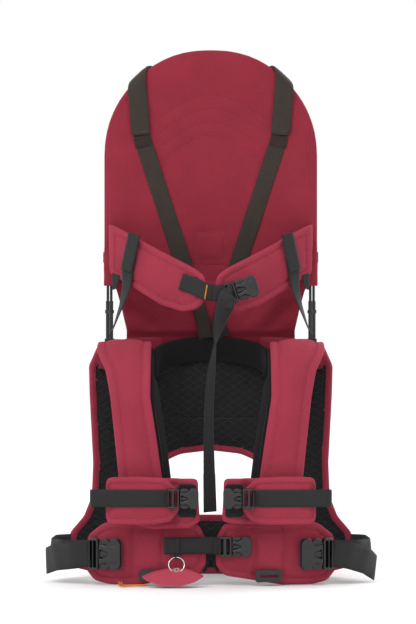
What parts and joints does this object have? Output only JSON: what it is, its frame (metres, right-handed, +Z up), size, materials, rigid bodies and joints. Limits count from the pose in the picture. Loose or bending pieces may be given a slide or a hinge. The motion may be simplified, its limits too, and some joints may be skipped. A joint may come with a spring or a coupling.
{
  "type": "child shoulder carrier",
  "caption": "Soft vest with shoulder pads and hip belt that carries a child on the wearer's shoulders, with a folding framed backrest, child belt and ankle cuffs.",
  "frame": {"origin": "on the floor under the middle of the carrier", "axes": "+Z up, +Y towards the wearer's back, +X to the right of someone facing the vest's front"},
  "size_m": [0.4608, 0.2426, 0.768],
  "materials": {
    "burgundy_canvas": "woven canvas, matt",
    "black_mesh": "quilted mesh, matt",
    "olive_webbing": "dark brown webbing",
    "black_webbing": "black webbing",
    "buckle_plastic": "dark moulded plastic",
    "frame_plastic": "black moulded plastic",
    "black_tube": "gloss black aluminium tube",
    "bare_aluminium": "mill",
    "steel": "nickel plated",
    "orange_cord": "braided cord"
  },
  "bodies": {
    "vest": {"back_frame": "black_tube", "back_pad": "black_mesh", "back_stiffener": "frame_plastic", "back_wings": "black_mesh", "hip_belt": "black_mesh", "shoulder_pad_left": "burgundy_canvas", "shoulder_pad_right": "burgundy_canvas", "shoulder_linings": "black_mesh", "shoulder_stays": "bare_aluminium", "neck_roll": "black_mesh", "front_flap_left": "burgundy_canvas", "front_flap_right": "burgundy_canvas", "cuff_pads": "burgundy_canvas", "cuff_receivers": "buckle_plastic", "hip_receivers": "buckle_plastic", "chest_receiver": "buckle_plastic", "chest_strap": "black_webbing", "hip_straps": "black_webbing", "hem_clips": "buckle_plastic", "split_ring": "steel", "ring_loop": "black_webbing", "orange_cord": "orange_cord", "pivot_brackets": "frame_plastic"},
    "struts": {"outer_tubes": "black_tube", "tube_collars": "frame_plastic", "strut_knuckles": "frame_plastic", "pivot_pins": "steel", "seat_sling": "burgundy_canvas", "crotch_straps": "olive_webbing", "side_strap_runs": "black_webbing"},
    "backrest": {"hoop_frame": "black_tube", "rod_sockets": "frame_plastic", "inner_rods": "black_tube", "backrest_pad": "burgundy_canvas", "harness_straps": "olive_webbing", "harness_sleeves": "olive_webbing", "belt_wing_left": "burgundy_canvas", "belt_wing_right": "burgundy_canvas", "belt_webbing": "black_webbing", "belt_receiver": "buckle_plastic", "side_strap_tops": "black_webbing"},
    "belt_clip": {"belt_clip": "buckle_plastic"},
    "belt_prong_a": {"belt_prong_a": "buckle_plastic"},
    "belt_prong_b": {"belt_prong_b": "buckle_plastic"},
    "belt_tail": {"belt_tail": "black_webbing"},
    "hip_left_clip": {"hip_left_clip": "buckle_plastic"},
    "hip_left_prong_a": {"hip_left_prong_a": "buckle_plastic"},
    "hip_left_prong_b": {"hip_left_prong_b": "buckle_plastic"},
    "hip_right_clip": {"hip_right_clip": "buckle_plastic"},
    "hip_right_prong_a": {"hip_right_prong_a": "buckle_plastic"},
    "hip_right_prong_b": {"hip_right_prong_b": "buckle_plastic"},
    "chest_clip": {"chest_clip": "buckle_plastic"},
    "cuff_left": {"cuff_flap_left": "burgundy_canvas", "cuff_strap_left": "black_webbing"},
    "cuff_left_clip": {"cuff_left_clip": "buckle_plastic"},
    "cuff_right": {"cuff_flap_right": "burgundy_canvas", "cuff_strap_right": "black_webbing"},
    "cuff_right_clip": {"cuff_right_clip": "buckle_plastic"},
    "tag": {"tag": "burgundy_canvas", "tag_rivet": "steel"}
  },
  "joints": [
    {"name": "backrest_fold", "type": "hinge", "parent": "vest", "child": "struts", "pos_m": [0, 0.1063, 0.332], "axis": [1, 0, 0], "range_deg": [0, 36]},
    {"name": "backrest_lift", "type": "slide", "parent": "struts", "child": "backrest", "axis": [0, 0, 1], "range_m": [-0.012, 0.025]},
    {"name": "belt_release", "type": "slide", "parent": "backrest", "child": "belt_clip", "axis": [-0.9563, 0, -0.2924], "range_m": [0, 0.024]},
    {"name": "belt_squeeze_a", "type": "hinge", "parent": "belt_clip", "child": "belt_prong_a", "pos_m": [0.03594, -0.0147, 0.42361], "axis": [0, 1, 0], "range_deg": [0, 8], "stiffness_Nm_per_rad": 0.4},
    {"name": "belt_squeeze_b", "type": "hinge", "parent": "belt_clip", "child": "belt_prong_b", "pos_m": [0.0415, -0.0147, 0.40544], "axis": [0, -1, 0], "range_deg": [0, 8], "stiffness_Nm_per_rad": 0.4},
    {"name": "hip_left_release", "type": "slide", "parent": "vest", "child": "hip_left_clip", "axis": [-0.9569, 0.2906, 0], "range_m": [0, 0.025]},
    {"name": "hip_left_squeeze_a", "type": "hinge", "parent": "hip_left_clip", "child": "hip_left_prong_a", "pos_m": [-0.15463, -0.06611, 0.0605], "axis": [0.2906, 0.9569, 0], "range_deg": [0, 8], "stiffness_Nm_per_rad": 0.4},
    {"name": "hip_left_squeeze_b", "type": "hinge", "parent": "hip_left_clip", "child": "hip_left_prong_b", "pos_m": [-0.15463, -0.06611, 0.0275], "axis": [-0.2906, -0.9569, 0], "range_deg": [0, 8], "stiffness_Nm_per_rad": 0.4},
    {"name": "hip_right_release", "type": "slide", "parent": "vest", "child": "hip_right_clip", "axis": [0.9569, 0.2906, 0], "range_m": [0, 0.025]},
    {"name": "hip_right_squeeze_a", "type": "hinge", "parent": "hip_right_clip", "child": "hip_right_prong_a", "pos_m": [0.15463, -0.06611, 0.0275], "axis": [-0.2906, 0.9569, 0], "range_deg": [0, 8], "stiffness_Nm_per_rad": 0.4},
    {"name": "hip_right_squeeze_b", "type": "hinge", "parent": "hip_right_clip", "child": "hip_right_prong_b", "pos_m": [0.15463, -0.06611, 0.0605], "axis": [0.2906, -0.9569, 0], "range_deg": [0, 8], "stiffness_Nm_per_rad": 0.4},
    {"name": "chest_release", "type": "slide", "parent": "vest", "child": "chest_clip", "axis": [-1, 0, 0], "range_m": [0, 0.02]},
    {"name": "cuff_left_release", "type": "slide", "parent": "cuff_left", "child": "cuff_left_clip", "axis": [-1, 0, 0], "range_m": [0, 0.02]},
    {"name": "cuff_right_release", "type": "slide", "parent": "cuff_right", "child": "cuff_right_clip", "axis": [1, 0, 0], "range_m": [0, 0.02]},
    {"name": "cuff_left_open", "type": "hinge", "parent": "vest", "child": "cuff_left", "pos_m": [-0.134, -0.0947, 0.1205], "axis": [0, 0, -1], "range_deg": [0, 100]},
    {"name": "cuff_right_open", "type": "hinge", "parent": "vest", "child": "cuff_right", "pos_m": [0.134, -0.0947, 0.1205], "axis": [0, 0, 1], "range_deg": [0, 100]},
    {"name": "tail_swing", "type": "hinge", "parent": "belt_clip", "child": "belt_tail", "pos_m": [0.024, -0.0212, 0.396], "axis": [1, 0, 0], "range_deg": [-36, 0]},
    {"name": "tag_swing", "type": "hinge", "parent": "vest", "child": "tag", "pos_m": [-0.048, -0.0907, 0.022], "axis": [-1, 0, 0], "range_deg": [0, 35]}
  ],
  "couplings": [
    {"joint": "tail_swing", "follows": "backrest_fold", "ratio": -1}
  ]
}
